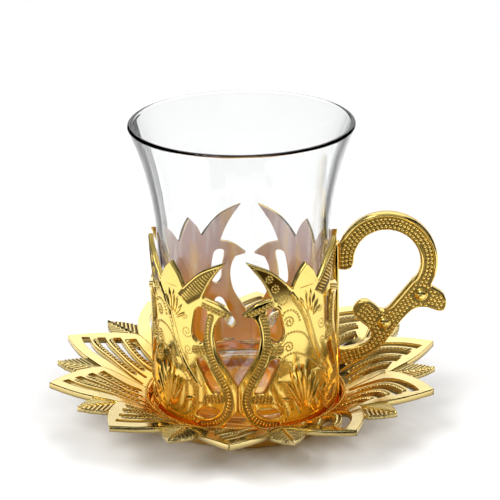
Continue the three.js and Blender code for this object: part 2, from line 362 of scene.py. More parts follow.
def band(low, high):
    """Two triangles for each step along two closed rows of point numbers, or along several such pairs."""
    low_next, high_next = np.roll(low, -1, axis=-1), np.roll(high, -1, axis=-1)
    halves = np.stack([low, low_next, high_next], -1), np.stack([low, high_next, high], -1)
    return np.concatenate([half.reshape(-1, 3) for half in halves])


def fan(row, pole):
    """A triangle to a pole for each step along a closed row of point numbers."""
    return np.stack([row, np.roll(row, -1), np.full(len(row), pole)], 1)


def lathe(profile, sides):
    """A turned solid: each point of a half section that runs from the axis round to the axis goes round
    in a circle, and the two points on the axis become poles."""
    rings = around(profile[1:-1], sides)
    rows = np.arange(len(rings)).reshape(-1, sides)
    poles = np.array([[0, 0, profile[0, 1]], [0, 0, profile[-1, 1]]])
    faces = [band(rows[:-1], rows[1:]), fan(rows[0, ::-1], len(rings)), fan(rows[-1], len(rings) + 1)]
    return np.concatenate([rings, poles]), np.concatenate(faces), np.zeros(len(rings) + 2)


def ring_of(section, sides):
    """A ring: each point of a closed section goes round the axis in a circle."""
    vertices = around(section, sides)
    rows = np.arange(len(vertices)).reshape(-1, sides)
    return vertices, band(rows, np.roll(rows, -1, axis=0)), np.zeros(len(vertices))


def dome(sides=8, levels=(10, 48)):
    """A closed unit dome: a foot sunk by half, rings at some angles above the surface, and a pole."""
    a = np.radians(levels)
    rings = np.stack([np.cos(a), np.sin(a)], 1)
    return lathe(np.concatenate([run([0, -0.5], [1, -0.5]), rings, run([0, 1])]), sides)


class Ornament:
    """A list of small domes on a surface: centre, half length, half width, direction and rise of each."""

    def __init__(self):
        self.rows = []

    def add(self, centres, length, width=None, angle=0.0, rise=None):
        """Adds domes. A round one has only a radius, and its rise is most of it."""
        centres = np.atleast_2d(centres)
        width = length if width is None else width
        rise = 0.62 * np.minimum(length, width) if rise is None else rise
        columns = np.broadcast_arrays(centres[:, 0], centres[:, 1], length, width, angle, rise)
        self.rows.append(np.stack(columns, 1))
        return self

    def beads(self, line, pitch, radius):
        """A row of round beads along a line."""
        return self.add(even(line, pitch)[0], radius)

    def circle(self, centre, radius, pitch, bead):
        """A ring of round beads with one in its middle."""
        count = max(int(round(2 * math.pi * radius / pitch)), 5)
        ring = arc(centre, radius, 0, 360, count)[:-1]
        return self.add(ring, bead).add(centre, bead * 1.15)

    def spiral(self, centre, radius, start, pitch, bead):
        """Round beads along a line that winds inwards from a circle's left or right side."""
        share = np.linspace(0, 1, 80)
        angle = np.radians(start - 520 * share)
        reach = radius * (1 - 0.8 * share)[:, None]
        return self.beads(np.array(centre) + reach * np.stack([np.cos(angle), np.sin(angle)], 1), pitch, bead)

    def kept_in(self, region, margin):
        """Only the domes whose centres lie on the region, some way in from its edges."""
        rows = np.concatenate(self.rows)
        centres = rows[:, :2]
        self.rows = [rows[inside(centres, region.starts, region.ends) & (region.gap(centres) > margin)]]
        return self

    def mesh(self, height, shape=dome()):
        """The domes as one mesh, each on the surface that the height function gives."""
        x, y, length, width, angle, rise = np.concatenate(self.rows).T[..., None]
        unit, faces, _ = shape
        across, along = unit[:, 0] * length, unit[:, 1] * width
        u = x + across * np.cos(angle) - along * np.sin(angle)
        v = y + across * np.sin(angle) + along * np.cos(angle)
        base = height(np.column_stack([x[:, 0], y[:, 0]]))[:, None]
        w = base + unit[:, 2] * np.where(unit[:, 2] > 0, rise, 0.5)
        vertices = np.column_stack([u.ravel(), v.ravel(), w.ravel()])
        starts = np.arange(len(x))[:, None, None] * len(unit)
        return vertices, (faces + starts).reshape(-1, 3), np.zeros(len(vertices))


def merged(*meshes):
    """Several meshes as one: a mesh is an array of vertices, one of triangles and one of dullness and painted
    shade.
    """
    vertices, faces, dullness_and_shade = zip(*meshes)
    starts = np.cumsum([0] + [len(part) for part in vertices])
    return (
        np.concatenate(vertices), np.concatenate([part + start for part, start in zip(faces, starts)]),
        np.concatenate(dullness_and_shade))


def in_scene(name, data):
    """An object of its own in the scene, untransformed."""
    item = bpy.data.objects.new(name, data)
    bpy.context.scene.collection.objects.link(item)
    return item


def make_piece(name, mesh_data, material, node, crease=50, back=None):
    """A mesh object from vertices in millimetres and triangles, which stands for a node of the frame. The
    back is another material, and the first and last of the triangles that have it."""
    vertices, faces, dullness_and_shade = mesh_data
    mesh = bpy.data.meshes.new(name)
    mesh.vertices.add(len(vertices))
    mesh.vertices.foreach_set("co", (vertices * MM).astype(np.float32).ravel())
    mesh.loops.add(len(faces) * 3)
    mesh.loops.foreach_set("vertex_index", faces.astype(np.int32).ravel())
    mesh.polygons.add(len(faces))
    mesh.polygons.foreach_set("loop_start", np.arange(len(faces), dtype=np.int32) * 3)
    mesh.update(calc_edges=True)
    mesh.shade_smooth()
    mesh.set_sharp_from_angle(angle=math.radians(crease))
    mesh.materials.append(material)
    if dullness_and_shade.any():
        # The attribute of dullness and painted shade, which darkens the gilt's colour
        mesh.attributes.new("dull_and_shade", "FLOAT", "POINT").data.foreach_set("value", dullness_and_shade.astype(np.float32))
    if back:
        mesh.materials.append(back[0])
        which = np.zeros(len(faces), np.int32)
        which[back[1]:back[2]] = 1
        mesh.polygons.foreach_set("material_index", which)
    piece = in_scene(name, mesh)
    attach(piece, BODY)
    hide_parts(node)
    return piece


def make_gilt(name, mesh_data, node, back=None):
    """A piece of the holder, the handle or the saucer, in that casting's gilt."""
    return make_piece(name, mesh_data, gilt(node), node, back=back)


# Materials

def linear(hex_colour):
    """An sRGB hex colour as linear red, green, blue and alpha."""
    values = [int(hex_colour[i:i + 2], 16) / 255 for i in (1, 3, 5)]
    return [v / 12.92 if v <= 0.04045 else ((v + 0.055) / 1.055) ** 2.4 for v in values] + [1.0]


def add_node(tree, kind, values=None, links=None):
    """Adds a node, sets its properties and its inputs, by name or number, and links inputs to sources: a
    source is another node's output, or a node, which stands for its first output."""
    node = tree.nodes.new(f"ShaderNode{kind}")
    for name, value in (values or {}).items():
        if isinstance(name, int) or name in node.inputs:
            node.inputs[name].default_value = value
        else:
            setattr(node, name, value)
    for name, source in (links or {}).items():
        output = source.outputs[0] if isinstance(source, bpy.types.Node) else source
        tree.links.new(output, node.inputs[name])
    return node


def new_material(name):
    """An empty node material and its tree."""
    material = bpy.data.materials.new(name)
    material.use_nodes = True
    material.node_tree.nodes.clear()
    return material, material.node_tree


def gilt(node):
    """Gold-plated zinc casting of the holder, the handle or the saucer, made once for each."""
    # Buffed plating: a bright warm mirror with faint haze and slight waves, which are drawn coarse enough to
    # show. Its redder tone near the foot is painted reflection of the gold around it. In the recesses it is
    # dull, where no buffing wheel reaches, and its colour there is darkened with painted shade and painted
    # dark reflection.
    name = f"gilt_zinc_{node}"
    if name in bpy.data.materials:
        return bpy.data.materials[name]
    casting = settings()[0]
    # Painted light: the saucer gets a paler, brighter copy of the gilt, for its upturned face, which catches
    # more light
    if node == "saucer":
        colour, measure, red, yellow = casting.pale, (1, 1, 0), 31 * MM, 47 * MM
    else:
        colour, measure, red, yellow = casting.colour, (0, 0, 1), 10 * MM, 34 * MM
    material, tree = new_material(name)
    place = add_node(tree, "TexCoord").outputs["Object"]
    # Attribute of dullness and painted shade
    dull_and_shade = add_node(tree, "Attribute", {"attribute_name": "dull_and_shade"}).outputs["Fac"]
    haze = add_node(
        tree, "TexNoise", {"Scale": 1 / (HAZE_SIZE * MM), "Detail": 3.0}, {"Vector": place})
    smooth, hazy = casting.roughness * 0.7, casting.roughness * 1.6
    polish = add_node(
        tree, "MapRange", {"From Min": 0.35, "From Max": 0.7, "To Min": smooth, "To Max": hazy},
        {"Value": haze})
    rough = add_node(
        tree, "Math", {"operation": "MULTIPLY_ADD", 1: 0.3}, {0: dull_and_shade, 2: polish})
    waves = add_node(
        tree, "TexNoise", {"Scale": 1 / (WAVE_SIZE * MM), "Detail": 2.0}, {"Vector": place})
    bump = add_node(
        tree, "Bump", {"Strength": 0.12, "Distance": 0.3 * MM}, {"Height": waves})
    part = add_node(tree, "VectorMath", {"operation": "MULTIPLY", 1: measure}, {0: place})
    distance = add_node(tree, "VectorMath", {"operation": "LENGTH"}, {0: part})
    # Painted reflection: the colour turns to the redder glow colour near the foot and the well, for the gold
    # around it
    fade = add_node(
        tree, "MapRange", {"interpolation_type": "SMOOTHSTEP", "From Min": red, "From Max": yellow},
        {"Value": distance.outputs["Value"]})
    tone = add_node(
        tree, "Mix", {"data_type": "RGBA", 6: linear(casting.glow), 7: linear(colour)},
        {0: fade})
    # Painted shade: where the attribute is high, the colour is darkened towards the dark recess colour
    shaded_colour = add_node(
        tree, "Mix", {"data_type": "RGBA", 7: linear(casting.dull_and_shade)},
        {0: dull_and_shade, 6: tone.outputs[2]})
    shader = add_node(
        tree, "BsdfPrincipled", {"Metallic": 1.0},
        {"Base Color": shaded_colour.outputs[2], "Roughness": rough, "Normal": bump})
    add_node(tree, "OutputMaterial", None, {"Surface": shader})
    return material


BACK_TONES = ((0.0, "#F6A208"), (0.3, "#E09418"), (0.45, "#BE8A58"), (0.7, "#AE928E"), (1.0, "#B8A4A0"))


def cast_back():
    """The unpolished back of the casting: golden brown near the foot and mauve brown above."""
    # Thin plating over a cast skin: dull and grainy. The upright streaks of brighter gold are painted glints,
    # painted highlights. The grain is drawn coarse enough to show.
    material, tree = new_material("unpolished_zinc")
    place = add_node(tree, "TexCoord").outputs["Object"]
    height = add_node(tree, "SeparateXYZ", None, {"Vector": place}).outputs["Z"]
    share = add_node(tree, "MapRange", {"From Min": 12 * MM, "From Max": 58 * MM}, {"Value": height})
    ramp = add_node(tree, "ValToRGB", None, {"Fac": share})
    elements = ramp.color_ramp.elements
    for index, (position, colour) in enumerate(BACK_TONES):
        stop = elements[index] if index < 2 else elements.new(position)
        stop.position = position
        stop.color = linear(colour)
    across, along = 1 / (GLINT_WIDTH * MM), 1 / (GLINT_LENGTH * MM)
    drawn = add_node(tree, "Mapping", {"Scale": (across, across, along)}, {"Vector": place})
    painted_glints = add_node(
        tree, "TexNoise", {"Scale": 1.0, "Detail": 2.0}, {"Vector": drawn})
    bright = add_node(
        tree, "MapRange", {"From Min": 0.5, "From Max": 0.72, "To Max": 0.85},
        {"Value": painted_glints})
    # Painted highlights: brighter gold where the glints are
    tone = add_node(
        tree, "Mix", {"data_type": "RGBA", 7: linear("#E2BC66")},
        {0: bright, 6: ramp})
    grain = add_node(
        tree, "TexNoise", {"Scale": 1 / (GRAIN_SIZE * MM), "Detail": 3.0}, {"Vector": place})
    bump = add_node(
        tree, "Bump", {"Strength": 0.2, "Distance": 0.2 * MM}, {"Height": grain})
    shader = add_node(
        tree, "BsdfPrincipled", {"Metallic": 0.55, "Roughness": 0.35},
        {"Base Color": tone.outputs[2], "Normal": bump})
    add_node(tree, "OutputMaterial", None, {"Surface": shader})
    return material


def pressed_glass():
    """Soda-lime glass, pressed and fire-polished."""
    # Clear, smooth and almost without tint. It is painted greyer at a glancing angle, where the light runs
    # through
    # more of it: painted shade for the dark surroundings that the edges bend into view, which gives the glass
    # its grey outline.
    glass = settings()[1]
    material, tree = new_material("soda_lime_glass")
    glance = add_node(tree, "LayerWeight", {"Blend": 0.5})
    depth = add_node(
        tree, "MapRange", {"From Min": 0.6, "From Max": 0.9}, {"Value": glance.outputs["Facing"]})
    tint_and_edge_shade = add_node(
        tree, "Mix", {"data_type": "RGBA", 6: linear(glass.colour), 7: linear(glass.edge)},
        {0: depth})
    shader = add_node(
        tree, "BsdfPrincipled", {"Roughness": 0.0, "IOR": 1.52, "Transmission Weight": 1.0},
        {"Base Color": tint_and_edge_shade.outputs[2]})
    add_node(tree, "OutputMaterial", None, {"Surface": shader})
    return material


# Settings

def length(title, text, default):
    """A setting that is a length in metres."""
    return FloatProperty(name=title, description=text, default=default, unit="LENGTH", subtype="DISTANCE")


def hex_colour(title, text, default):
    """A setting that is an sRGB colour as a hex value."""
    return StringProperty(name=title, description=f"{text}, as an sRGB hex value", default=default)


class CastingSettings(bpy.types.PropertyGroup):
    """Sizes and finish of the gilt castings."""

    colour: hex_colour("Gilt colour", "Gold plating of the holder and the handle", "#F8DA7C")
    # Painted light: a paler copy of the same gilt, for the saucer's upturned face, which catches more light
    pale: hex_colour("Saucer colour", "Gold plating of the saucer", "#F9E096")
    # Painted reflection: the redder tone near the foot stands in for the gold around it
    glow: hex_colour("Glow colour", "Redder plating near the foot", "#F9CC64")
    # Painted shade: the dark colour of recesses, grooves, beds and undersides, and the painted dark
    # reflection on the horns
    dull_and_shade: hex_colour("Ground colour", "Dull plating in the recesses", "#4A320E")
    roughness: FloatProperty(
        name="Roughness", description="Roughness of the polish", default=0.13, min=0.0, max=1.0)
    spacing: length("Mesh spacing", "Distance between the points of the relief", 0.25 * MM)
    bead: length("Bead radius", "Radius of the bold beads", 0.44 * MM)
    pitch: length("Bead pitch", "Distance between the bold beads", 1.0 * MM)
    handle_pitch: length("Handle pitch", "Distance between the beads of the handle", 1.26 * MM)
    rope_pitch: length("Rope pitch", "Distance between the twists of the ropes", 1.15 * MM)


class GlassSettings(bpy.types.PropertyGroup):
    """Finish of the glass."""

    colour: hex_colour("Glass colour", "Tint seen straight on", "#FCFDFD")
    # Painted shade: the grey at the glass's glancing edges
    edge: hex_colour("Edge colour", "Tint at a glancing angle", "#787C7C")


class StageSettings(bpy.types.PropertyGroup):
    """Floor and light."""

    floor: hex_colour("Floor colour", "Matt paper under the object", "#F6F6F6")
    world: FloatProperty(name="Sky strength", description="Strength of the light overhead", default=0.6)
    key: FloatProperty(
        name="Key light", description="Power of the large soft light", default=15.0, unit="POWER",
        subtype="POWER")


def settings():
    """The settings of the castings, the glass and the stage."""
    scene = bpy.context.scene
    return scene.tea_glass_casting, scene.tea_glass_glass, scene.tea_glass_stage


# Holder

def tulip_half():
    """Right half of a tulip panel's outline, from the base up to the bud's tip."""
    stem = spline(
        run([HALF_PITCH, 19.2], [19.3, 23.9], [16.5, 28.6], [15.3, 33.5], [15.7, 37.3], [17.1, 40.1]), 40)
    return np.concatenate([
        run([HALF_PITCH, HOLDER_BASE], [HALF_PITCH, BASE_TOP]),
        spline(run([17.8, BASE_TOP], [19.6, 8.8], [HALF_PITCH, 11.6]), 16),
        stem,
        run([20.6, 41.0]),
        spline(run([20.6, 41.4], [16.6, 44.3], [11.9, 45.8]), 16),
        spline(run([11.9, 45.8], [14.8, 51.4], [19.2, HORN_HEIGHT]), 20),
        spline(run([19.2, HORN_HEIGHT], [11.5, 53.7], [5.1, 48.0]), 24),
        spline(run([5.1, 48.0], [3.0, 51.6], [0, BUD_HEIGHT]), 14),
    ])


def closed_spline(knots, steps):
    """A smooth closed outline through its knots."""
    wrapped = np.concatenate([knots[-2:], knots, knots[:2]])
    line = spline(wrapped, steps * (len(wrapped) - 1))
    return line[2 * steps:-steps - 1]


def tulip_windows():
    """The three windows in the right half of a panel: upper, slanting, and the lens near the foot."""
    upper = run([9.9, 42.5], [13.2, 42.2], [12.4, 37], [11.9, 33], [10.4, 31.7], [8.2, 33.5], [8.5, 38])
    slanting = run([9.5, 26.3], [12.1, 26.7], [14.9, 21.5], [17.1, 17.2], [14.5, 16.8], [11.8, 21.5])
    lens = run([9.0, 9.3], [11.2, 8.5], [14.0, 9.0], [16.6, 11.2], [14.6, 12.1], [11.4, 11.6])
    return [closed_spline(window, 5) for window in (upper, slanting, lens)]


# Lines of a panel's relief, in millimetres across and up
SWEEP = spline(run(
    [-5.3, 46.4], [-2.7, 42.8], [-0.6, 39.4], [0.9, 35.5], [2.8, 30.1], [5.4, 24.6], [10.4, 18.0]), 60)
LADDER = spline(run(
    [14.3, 40.2], [13.5, 37], [13.15, 33.2], [13.8, 28.8], [15.4, 24.8], [17.5, 21], [19.1, 17.2],
    [19.5, 13.4], [18.0, 9.4], [14.6, 7.0], [10.8, 6.2]), 90)
LENS_ROW = spline(run([11.8, 13.5], [9.4, 12.5], [7.6, 10.6], [7.5, 8.3], [9.2, 6.6]), 30)
FOOT_ROW = run([0.55, 5.0], [15.5, 5.0])
SCROLLS = (
    run([-8.7, 36.4], [-9.1, 38.8], [-7.8, 40.9], [-5.5, 41.3], [-3.5, 39.9], [-2.6, 37.6]),
    run([-8.9, 28.6], [-9.4, 31.0], [-8.3, 33.2], [-5.8, 34.4], [-3.1, 34.2], [-0.7, 32.8], [0.9, 30.6]),
    run([-9.0, 22.2], [-9.6, 24.6], [-8.4, 26.8], [-5.9, 27.9], [-3.0, 27.5], [0.0, 25.7], [3.0, 23.2],
        [5.6, 20.6], [7.4, 18.6]))
FLORETS = (((-12.4, 51.7), 0.95), ((-10.6, 48.6), 1.05), ((-8.3, 44.9), 1.4))
SCROLL_EYES = (((-6.2, 37.7), 150), ((-6.5, 30.0), 160), ((-6.5, 23.9), 160))
TENDRILS = (((6.3, 34.6), 1.9), ((5.3, 39.4), 1.2), ((6.7, 29.2), 1.6))
PALM_FOOT = (1.2, 37.2)
PALM_TIPS = run([-2.6, 44.9], [-0.6, 46.6], [1.5, 46.6], [3.2, 44.9], [4.8, 42.7], [5.8, 40.4])
FLAME_FOOT = (-1.0, 8.0)
FLAME_TIPS = run(
    [-7.6, 19.6], [-6.0, 22.4], [-3.9, 24.0], [-1.6, 24.0], [0.8, 22.6], [3.0, 20.4], [4.6, 17.6])
# Beaded patches: the line and half width of the dull bed, darkened with painted shade, then the beads'
# corner, steps, columns and rows
PATCHES = (
    (run([12.5, 43.6], [19.6, 41.1]), 0.95, (12.2, 44.2), (1.05, -0.42), (0.28, -0.92), 8, 2),
    (run([9.4, 29.5], [12.2, 29.9]), 1.4, (8.9, 30.4), (1.0, 0.12), (0.35, -0.95), 4, 3),
    (run([13.0, 14.8], [17.2, 15.1]), 1.3, (12.6, 15.6), (1.05, 0.1), (0.2, -0.95), 5, 3))


def strokes(trim, foot, tips, start, width, rise):
    """Long domes that spread from near one foot out to several tips, at some share of the way."""
    foot = np.array(foot)
    reach = tips - foot
    half = np.linalg.norm(reach, axis=1) * (1 - start) / 2
    trim.add(foot + reach * (1 + start) / 2, half, width, np.arctan2(reach[:, 1], reach[:, 0]), rise)


def sunk_field(points, region):
    """1 in the field that lies below the rest of a panel: the left horn and the column of scrolls."""
    u, v = points.T
    gap, _, side = near_line(points, SWEEP)
    column = np.maximum(
        smooth_step(10.4 + u, 0, 0.6), smooth_step(v - np.clip(-u - 9.5, 0, 2.5), 43.5, 44.3))
    rim = smooth_step(region.gap(points), 0.55, 0.85)
    return smooth_step(-gap * side, 0.5, 1.0) * column * rim * smooth_step(v, 19.0, 22.0)


def panel_relief(points, region):
    """Height of a panel's face: a roof-shaped bud, a sweeping ridge, the sunk field on its left, a sunk bed
    for the ladder along the stems, and a domed lower part."""
    u, v = points.T
    height = 0.38 * ridge(near_line(points, SWEEP)[0], 0.36) * smooth_step(v, 17.8, 19.5)
    height -= 0.28 * sunk_field(points, region)
    for sign in (1, -1):
        height -= 0.3 * on_line(points * [sign, 1], LADDER, 1.0, 1.25)
    border = np.interp(v, [47.0, 48.0, 51.6, BUD_HEIGHT], [5.6, 5.1, 3.0, 0]) - 1.0
    height += np.minimum((border - np.abs(u)) * 0.1, (v - 47.6) * 1.5).clip(0)
    height += 0.35 * np.cos(np.clip(np.hypot(u / 9.5, (v - 14) / 12), 0, 1) * math.pi / 2)
    return height


def panel_dull_and_shade(points, region):
    """The dullness of a panel's face and the painted shade that darkens it: most in the ladders' beds, under
    the
    beaded patches, and on the horns: in the sunk field of the left one and between the ribs of the right one.
    On the horns it is painted shade and painted dark reflection."""
    u, v = points.T
    dullness_and_shade = sunk_field(points, region) * smooth_step(v, 41.0, 49.0)
    for sign in (1, -1):
        sided = points * [sign, 1]
        dullness_and_shade = np.maximum(dullness_and_shade, 0.7 * on_line(sided, LADDER, 0.9, 1.15))
        for bed, reach, *_ in PATCHES:
            dullness_and_shade = np.maximum(dullness_and_shade, 0.7 * on_line(sided, bed, reach - 0.2, reach + 0.2))
    past_foot = smooth_step(0.55 * (u - 3.4) + 0.83 * (v - 45.4), -0.2, 0.1)
    below_bud = 1 - smooth_step(v - 45.6 - 1.14 * (u - 3.4), 0, 0.4)
    above_hook = smooth_step(v - 42.9 - 0.65 * (u - 6.7), -0.3, 0.1)
    horn = past_foot * below_bud * above_hook * smooth_step(region.gap(points), 0.5, 0.8)
    return np.maximum(dullness_and_shade, 0.9 * horn)


def horn_ribs(trim):
    """Bars across the right horn at an even pitch, each from its lower line to its upper one."""
    low = spline(run([6.7, 43.2], [9.8, 45.4], [12.6, 47.2], [14.8, 51.4], [19.2, HORN_HEIGHT]), 60)
    high = spline(run([3.4, 45.4], [5.6, 47.9], [8.4, 50.6], [11.9, 53.2], [19.2, HORN_HEIGHT]), 60)
    reached = lengths((low + high) / 2)
    places = np.linspace(0.01, 0.88, HORN_RIBS) * reached[-1]
    foot, tip = points_at(places, reached, low), points_at(places, reached, high)
    span = tip - foot
    half = np.maximum(np.linalg.norm(span, axis=1) / 2 - 0.4, 0.3)
    trim.add((foot + tip) / 2, half, 0.29, np.arctan2(span[:, 1], span[:, 0]), 0.3)


def panel_trim():
    """All beads, bars, ribs, leaves and strokes on one panel."""
    casting = settings()[0]
    bead, pitch = casting.bead / MM, casting.pitch / MM
    trim = Ornament()
    for centre, radius in FLORETS:
        trim.circle(centre, radius, pitch * 0.85, bead * 0.85)
    for centre, start in SCROLL_EYES:
        trim.spiral(centre, 1.75, start, pitch * 0.82, bead * 0.86)
    for scroll in SCROLLS:
        trim.beads(spline(scroll, 40), pitch, bead)
    trim.beads(offset(SWEEP, -1.05)[3:], pitch * 0.85, bead * 0.9)
    trim.beads(offset(SWEEP, 0.95)[8:], pitch * 0.7, bead * 0.6)
    for centre, radius in TENDRILS:
        trim.spiral(centre, radius, 0, 0.64, 0.24)
    strokes(trim, PALM_FOOT, PALM_TIPS, 0.26, 0.5, 0.5)
    strokes(trim, FLAME_FOOT, FLAME_TIPS, 0.16, 0.85, 0.75)
    horn_ribs(trim)
    bars, angles = even(LADDER, 1.0)
    for sign in (1, -1):
        trim.add(bars * [sign, 1], 1.05, 0.36, (angles + math.pi / 2) * sign, 0.3)
        trim.beads(LENS_ROW * [sign, 1], 1.25, 0.55)
        trim.beads(FOOT_ROW * [sign, 1], 1.1, 0.48)
        trim.add(np.array([7.0, 13.9]) * [sign, 1], 2.2, 0.8, 0.3 * sign, 0.4)
        for _, _, corner, across, down, columns, rows in PATCHES:
            i, j = np.meshgrid(np.arange(columns), np.arange(rows))
            grid = np.array(corner) + i.ravel()[:, None] * across + j.ravel()[:, None] * down
            trim.add(grid * [sign, 1], bead * 1.15)
    return trim


def rolled(inner, degrees=0.0):
    """A place function that rolls a flat piece round the axis: across becomes an angle."""
    def place(u, v, w):
        a = u / PATTERN_RADIUS + math.radians(degrees)
        return np.stack([(inner + w) * np.cos(a), (inner + w) * np.sin(a), v], 1)
    return place


def build_holder():
    """Four panels, the upright with the handle's roots, and the ring inside the foot."""
    half = tulip_half()
    windows = tulip_windows()
    outline = closed_loop(half, mirrored(half)) * [1 - SEAM / HALF_PITCH, 1]
    region = Region(outline, windows + [mirrored(window) for window in windows], settings()[0].spacing / MM)
    inner = HOLDER_RADIUS - HOLDER_WALL

    def relief(points):
        return panel_relief(points, region)

    # Dullness and painted shade of the panel's face
    def dull_and_shade(points):
        return panel_dull_and_shade(points, region)

    def flutes(points):
        """Two grooves along the upright."""
        return 0.35 - 0.35 * ridge(np.abs(points[:, 0]) - 1.1, 0.4)

    plate = sheet(region, HOLDER_WALL, relief, dull_and_shade=dull_and_shade, under=0.4)
    trim = panel_trim().kept_in(region, BEAD_MARGIN)
    panel = merged(plate, trim.mesh(lambda p: HOLDER_WALL + relief(p)))
    count = len(region.faces)
    back = cast_back(), count, 2 * count
    for i in range(PANELS):
        shape = bent(panel, rolled(inner, 360 * (i + 0.5) / PANELS))
        make_gilt(f"holder_panel_{i + 1}", shape, "holder", back)
    side = POST_WIDTH / 2
    post = run([-side, HOLDER_BASE], [side, HOLDER_BASE], [side, POST_HEIGHT], [-side, POST_HEIGHT])
    upright = sheet(Region(post, [], 0.35), HOLDER_WALL, flutes)
    make_gilt("holder_upright", bent(upright, rolled(inner)), "holder")
    outer = HOLDER_RADIUS - HOLDER_WALL / 2
    top = BASE_TOP - 0.1
    bottom = top - RING_THICKNESS
    section = run(
        [BASE_HOLE, bottom], [outer, bottom], [outer, top], [BASE_HOLE + 0.3, top], [BASE_HOLE, top - 0.3])
    make_gilt("holder_ring", ring_of(section, TURNED_SIDES["ring"]), "holder")


# Handle

def handle_outline():
    """The side view of the scroll handle, as x and z."""
    spur = spline(run(
        [55.4, 40.6], [58.4, 38.6], [59.7, 36.2], [59.2, 33.7], [57.4, 33.2], [53.6, 34.3], [50.2, 33.6],
        [46.8, 30.2], [43.3, 25.1], [40.3, 21.2], [34.4, 17.3]), 80)
    curl = spline(run(
        [30, 20.5], [35, 22.0], [37.6, 24.6], [37.2, 27.0], [33.6, 30.2], [32.2, 32.9], [33.4, 35.2],
        [35.9, 36.0], [38.2, 34.8], [40.4, 33.1], [42.4, 33.8], [45.2, 37.2], [49.4, 42.6]), 90)
    return closed_loop(
        run([HANDLE_START, 45.8], [HANDLE_START, 53.6]),
        arc(RING, RING_OUTER, 152, -28, 60),
        spur,
        run([HANDLE_START, 15.5], [HANDLE_START, 20.7]),
        curl,
        arc(RING, RING_INNER, -32, 172, 60),
        spline(run([32.5, 48.6], [31.9, 46.5], [30.2, 45.7]), 12))


INNER_EDGE = np.concatenate([
    arc(RING, RING_INNER, 20, -32, 30),
    spline(run([49.8, 42.8], [47.2, 39.4], [45.2, 37.2], [42.4, 33.8], [40.4, 33.1]), 30)])


def build_handle():
    """The scroll handle: a flat plate with sunk faces full of beads, and two studs on each face."""
    spacing = settings()[0].spacing / MM
    pitch = settings()[0].handle_pitch / MM
    region = Region(handle_outline(), [], spacing)
    half = HANDLE_THICKNESS / 2

    def border(points):
        """Width of the smooth edge: broad outside the ring and inside it on the right, narrow elsewhere."""
        x, z = points.T
        reach = np.hypot(x - RING[0], z - RING[1])
        outside = smooth_step(z, 43, 47) * (reach > (RING_OUTER + RING_INNER) / 2) * (
            (x > 36) | (z > 51.5)) * smooth_step(x, 28.6, 30.5)
        within = near_line(points, INNER_EDGE)[0]
        return 0.3 + 0.8 * np.maximum(outside, (within < 2.2) * smooth_step(x, 41.5, 44.5))

    def face(points):
        """A rounded smooth edge, and a sunk bed within it."""
        gap, width = region.gap(points), border(points)
        return np.where(
            gap < width, 0.22 * width * np.sin(math.pi * np.minimum(gap / width, 1)),
            -0.42 * smooth_step(gap - width, 0, 0.15))

    # Dullness and painted shade in the sunk bed round the beads
    def dull_and_shade(points):
        return 0.7 * smooth_step(region.gap(points) - border(points), -0.05, 0.15)

    spine = np.concatenate([
        arc(RING, (RING_OUTER + RING_INNER) / 2 - 0.35, 192, -30, 90),
        spline(run([51.0, 39.2], [47.2, 34.8], [43.4, 29.0], [40.6, 24.6], [37.0, 20.6], [29.2, 18.0]), 60)])
    clear = [run([0, 0])]
    for row in sorted(range(-8, 9), key=abs):
        centres = even(offset(spine, row * pitch * 0.95), pitch)[0]
        centres = centres[inside(centres, region.starts, region.ends)]
        centres = centres[region.gap(centres) - border(centres) > 0.34]
        centres = centres[np.linalg.norm(centres[:, None] - np.array(STUDS), axis=2).min(1) > STUD_CLEARANCE]
        others = np.concatenate(clear)
        clear.append(centres[np.linalg.norm(centres[:, None] - others, axis=2).min(1) > 0.82 * pitch])
    beads = Ornament().add(np.concatenate(clear[1:]), 0.47 * pitch)
    studs = Ornament().add(np.array(STUDS), STUD_RADIUS, rise=0.55)
    studs.add(np.array(STUDS), STUD_TOP_RADIUS, rise=1.15)

    def level(points):
        return HANDLE_THICKNESS + face(points)

    def front(u, v, w):
        return np.stack([u, half - w, v], 1)

    plate = bent(sheet(region, HANDLE_THICKNESS, face, edge=0.45, bottom=face, dull_and_shade=dull_and_shade), front)
    stud = dome(28, (5, 20, 38, 56, 74))
    trims = [bent(beads.mesh(level), front), bent(studs.mesh(level, stud), front)]
    backs = [(vertices * [1, -1, 1], faces[:, ::-1], dullness_and_shade) for vertices, faces, dullness_and_shade in trims]
    make_gilt("handle_scroll", merged(plate, *trims, *backs), "handle")


# Saucer

def dish_height(radius):
    """Height of the dish's upper face: a steep cone, a soft bend and a flatter cone."""
    t = np.clip((radius - BEND_START) / (BEND_END - BEND_START), 0, 1)
    bend = (BEND_END - BEND_START) * (DISH_SLOPE * t + (RIM_SLOPE - DISH_SLOPE) * (t**3 - t**4 / 2))
    cone = DISH_SLOPE * (np.minimum(radius, BEND_START) - WELL_RADIUS)
    return WELL_LIP + cone + bend + RIM_SLOPE * np.maximum(radius - BEND_END, 0)


def on_dish(wall, drop, degrees):
    """A place function that turns a flat piece about the axis and lays it on the dish."""
    def place(u, v, w):
        x, y = turned(np.stack([u, v], 1), degrees).T
        return np.stack([x, y, dish_height(np.hypot(x, y)) - drop - wall + w], 1)
    return place


def petal_outline():
    """A petal that points along the first axis, with its share of the dish down to the well."""
    notch = turned([(NOTCH_RADIUS, 0)], -180 / PETALS)[0]
    tip = np.array([PETAL_RADIUS, 0])
    across = (tip - notch) / np.linalg.norm(tip - notch)
    t = np.linspace(0, 1, 31)[:, None]
    bulge = PETAL_BULGE * np.sin(math.pi * t)
    side = notch + t * (tip - notch) + bulge * [across[1], -across[0]]
    root = arc((0, 0), WELL_RADIUS, 180 / PETALS, -180 / PETALS, 24)
    return closed_loop(root, side, (side * [1, -1])[::-1])


